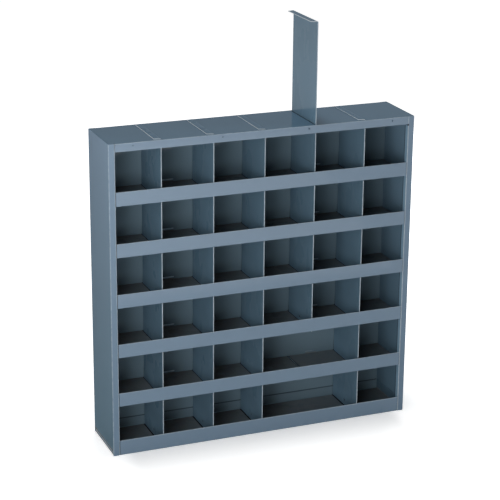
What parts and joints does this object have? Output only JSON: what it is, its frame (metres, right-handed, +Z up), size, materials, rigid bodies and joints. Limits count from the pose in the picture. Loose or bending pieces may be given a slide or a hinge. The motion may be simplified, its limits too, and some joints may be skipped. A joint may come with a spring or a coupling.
{
  "type": "pigeonhole bin unit",
  "caption": "Shallow steel case of shelves with front lips, cut into compartments by sheet dividers that slide up and down in slots in the top and the shelves.",
  "frame": {"origin": "middle of the footprint, on the floor", "axes": "+Z up, -Y out of the open front, +X to the right of someone who stands before it"},
  "size_m": [0.8572, 0.1714, 1.1307],
  "materials": {
    "case_enamel": "grey-blue baked enamel on sheet steel, fairly glossy, lightly worn",
    "back_enamel": "grey-blue baked enamel on sheet steel, fairly glossy, lightly worn",
    "shelf_enamel": "grey-blue baked enamel on sheet steel, fairly glossy, lightly worn",
    "divider_enamel": "grey-blue baked enamel on sheet steel, fairly glossy, lightly worn"
  },
  "bodies": {
    "case": {"left_side_panel": "case_enamel", "right_side_panel": "case_enamel", "top_panel": "case_enamel", "bottom_pan": "case_enamel", "back_panel": "back_enamel", "shelf_1": "shelf_enamel", "shelf_2": "shelf_enamel", "shelf_3": "shelf_enamel", "shelf_4": "shelf_enamel", "shelf_5": "shelf_enamel"},
    "divider_1": {"divider_1": "divider_enamel"},
    "divider_2": {"divider_2": "divider_enamel"},
    "divider_3": {"divider_3": "divider_enamel"},
    "divider_4": {"divider_4": "divider_enamel"},
    "divider_5": {"divider_5": "divider_enamel"}
  },
  "joints": [
    {"name": "divider_1_slide", "type": "slide", "parent": "case", "child": "divider_1", "axis": [0, 0, 1], "range_m": [0, 0.845]},
    {"name": "divider_2_slide", "type": "slide", "parent": "case", "child": "divider_2", "axis": [0, 0, 1], "range_m": [0, 0.845]},
    {"name": "divider_3_slide", "type": "slide", "parent": "case", "child": "divider_3", "axis": [0, 0, 1], "range_m": [0, 0.845]},
    {"name": "divider_4_slide", "type": "slide", "parent": "case", "child": "divider_4", "axis": [0, 0, 1], "range_m": [-0.272, 0.573]},
    {"name": "divider_5_slide", "type": "slide", "parent": "case", "child": "divider_5", "axis": [0, 0, 1], "range_m": [0, 0.845]}
  ]
}
